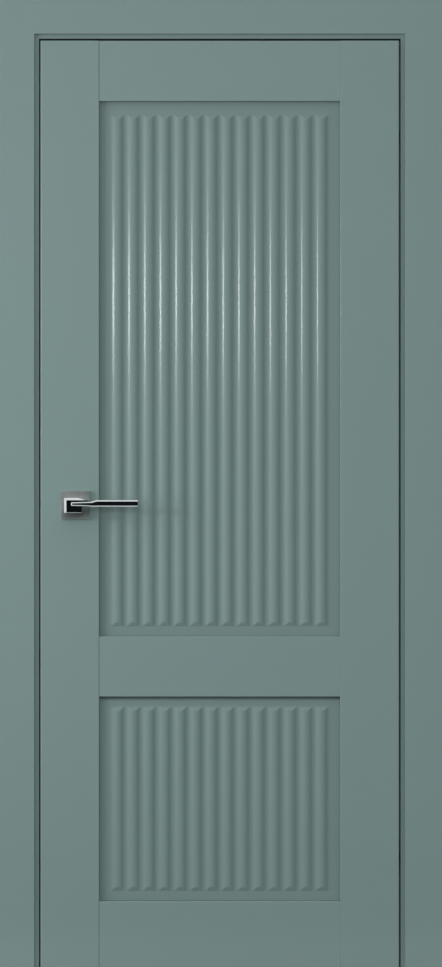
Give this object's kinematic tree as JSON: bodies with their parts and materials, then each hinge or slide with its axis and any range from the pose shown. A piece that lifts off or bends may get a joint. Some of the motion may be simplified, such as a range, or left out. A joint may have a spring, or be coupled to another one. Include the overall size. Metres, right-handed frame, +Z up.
{
  "type": "panelled door with frame",
  "caption": "Framed door leaf with ribbed panels above and below a middle rail, lever handles on square roses, a magnetic latch and concealed hinges, hung flush in a jamb with flat casings.",
  "frame": {"origin": "on the floor under the middle of the leaf, halfway through the leaf's thickness", "axes": "+X to the right across the opening, +Y through the doorway to the back, +Z up; the front faces -Y"},
  "size_m": [0.948, 0.164, 2.0835],
  "materials": {
    "painted_wood": "satin grey-green paint on engineered wood",
    "beech": "bare beech",
    "polished_chrome": "mirror chrome",
    "satin_steel": "satin nickel plate",
    "zinc_steel": "zinc plate",
    "magnet": "nickel plated magnet",
    "seal_rubber": "soft dull rubber"
  },
  "bodies": {
    "frame": {"jamb_latch_side": "painted_wood", "jamb_hinge_side": "painted_wood", "head_jamb": "painted_wood", "seal_latch_side": "seal_rubber", "seal_hinge_side": "seal_rubber", "seal_head": "seal_rubber", "casing_front_left": "painted_wood", "casing_front_right": "painted_wood", "casing_front_head": "painted_wood", "casing_back_left": "painted_wood", "casing_back_right": "painted_wood", "casing_back_head": "painted_wood", "frame_corner_screws": "zinc_steel", "strike_plate": "polished_chrome", "strike_box": "zinc_steel", "strike_magnet": "magnet", "strike_screws": "zinc_steel", "upper_hinge_frame_body": "satin_steel", "lower_hinge_frame_body": "satin_steel", "upper_hinge_frame_pin": "satin_steel", "lower_hinge_frame_pin": "satin_steel", "hinge_frame_screws": "satin_steel"},
    "leaf": {"stile_latch_side": "painted_wood", "stile_hinge_side": "painted_wood", "top_rail": "painted_wood", "middle_rail": "painted_wood", "bottom_rail": "painted_wood", "upper_panel": "painted_wood", "lower_panel": "painted_wood", "rail_dowels": "beech", "latch_forend": "polished_chrome", "latch_housing": "zinc_steel", "forend_screws": "zinc_steel", "rose_front": "polished_chrome", "rose_back": "polished_chrome", "rose_base_front": "zinc_steel", "rose_base_back": "zinc_steel", "rose_bolts": "zinc_steel", "lever_springs": "zinc_steel", "upper_hinge_leaf_body": "satin_steel", "lower_hinge_leaf_body": "satin_steel", "upper_hinge_leaf_pins": "satin_steel", "lower_hinge_leaf_pins": "satin_steel", "hinge_leaf_screws": "satin_steel"},
    "lever": {"lever_front": "polished_chrome", "lever_back": "polished_chrome", "spindle": "zinc_steel", "latch_follower": "zinc_steel", "grub_screws": "zinc_steel"},
    "latch": {"latch_bolt": "polished_chrome"},
    "frame_arms": {"upper_hinge_frame_arms": "satin_steel", "lower_hinge_frame_arms": "satin_steel"},
    "frame_links": {"upper_hinge_frame_link": "satin_steel", "lower_hinge_frame_link": "satin_steel"},
    "leaf_arms": {"upper_hinge_leaf_arms": "satin_steel", "lower_hinge_leaf_arms": "satin_steel"},
    "leaf_links": {"upper_hinge_leaf_links": "satin_steel", "lower_hinge_leaf_links": "satin_steel"}
  },
  "joints": [
    {"name": "leaf_swing", "type": "hinge", "parent": "frame", "child": "leaf", "pos_m": [0.38275, -0.0145, 0], "axis": [0, 0, 1], "range_deg": [0, 95]},
    {"name": "frame_arm_turn", "type": "hinge", "parent": "frame", "child": "frame_arms", "pos_m": [0.38825, -0.001, 0], "axis": [0, 0, 1], "range_deg": [0, 95]},
    {"name": "frame_link_turn", "type": "hinge", "parent": "frame", "child": "frame_links", "pos_m": [0.40425, 0, 0], "axis": [0, 0, 1], "range_deg": [0, 95]},
    {"name": "leaf_arm_turn", "type": "hinge", "parent": "leaf", "child": "leaf_arms", "pos_m": [0.37725, -0.001, 0], "axis": [0, 0, 1], "range_deg": [-95, 0]},
    {"name": "leaf_link_turn", "type": "hinge", "parent": "leaf", "child": "leaf_links", "pos_m": [0.36125, 0, 0], "axis": [0, 0, 1], "range_deg": [-95, 0]},
    {"name": "lever_turn", "type": "hinge", "parent": "leaf", "child": "lever", "pos_m": [-0.307, 0, 1.002], "axis": [0, 1, 0], "range_deg": [0, 40], "stiffness_Nm_per_rad": 1.5, "springref_deg": -28.65},
    {"name": "latch_slide", "type": "slide", "parent": "leaf", "child": "latch", "axis": [1, 0, 0], "range_m": [0, 0.008]}
  ],
  "couplings": [
    {"joint": "frame_arm_turn", "follows": "leaf_swing", "ratio": 1},
    {"joint": "frame_link_turn", "follows": "leaf_swing", "ratio": 1},
    {"joint": "leaf_arm_turn", "follows": "leaf_swing", "ratio": -1},
    {"joint": "leaf_link_turn", "follows": "leaf_swing", "ratio": -1},
    {"joint": "latch_slide", "follows": "lever_turn", "m_per_rad": 0.011459}
  ]
}
